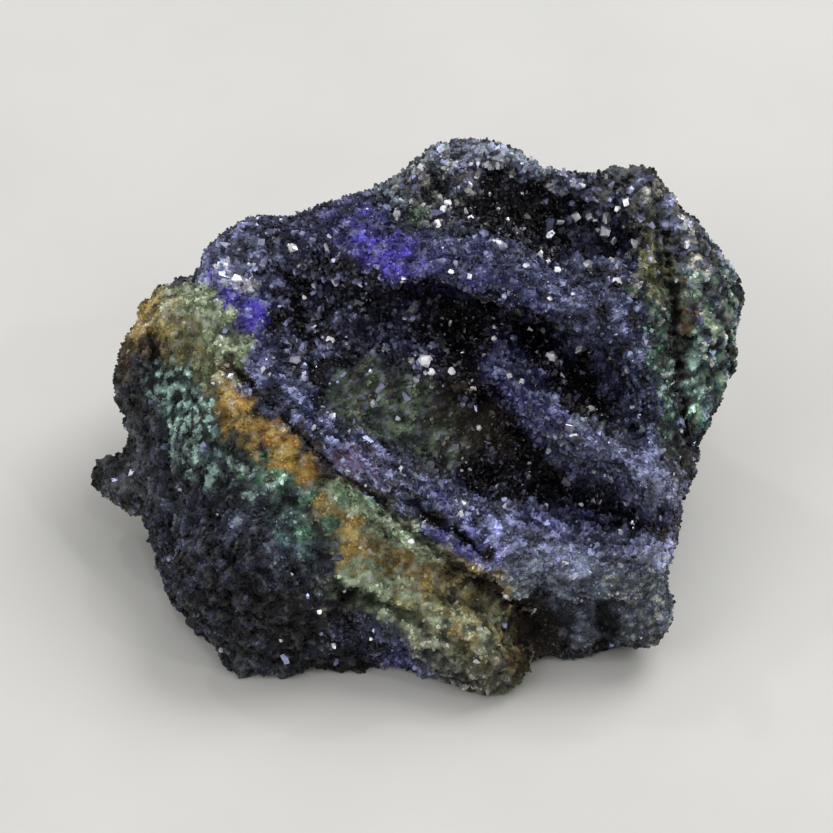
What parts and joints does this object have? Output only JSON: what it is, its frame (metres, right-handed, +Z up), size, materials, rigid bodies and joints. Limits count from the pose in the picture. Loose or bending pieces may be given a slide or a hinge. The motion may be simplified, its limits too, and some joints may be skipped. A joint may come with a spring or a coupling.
{
  "type": "malachite geode",
  "caption": "Hand-sized broken geode of azurite and malachite with a crystal-lined hollow, resting on a flat foot.",
  "frame": {"origin": "centre of the footprint, on the surface that the stone rests on", "axes": "+X across the open face, along the stone's longest side; +Y to the back, away from the open face; +Z up"},
  "size_m": [0.046, 0.0366, 0.0282],
  "materials": {
    "azurite_malachite": "matte"
  },
  "bodies": {
    "root": {"geode_stone": "azurite_malachite"}
  },
  "joints": []
}
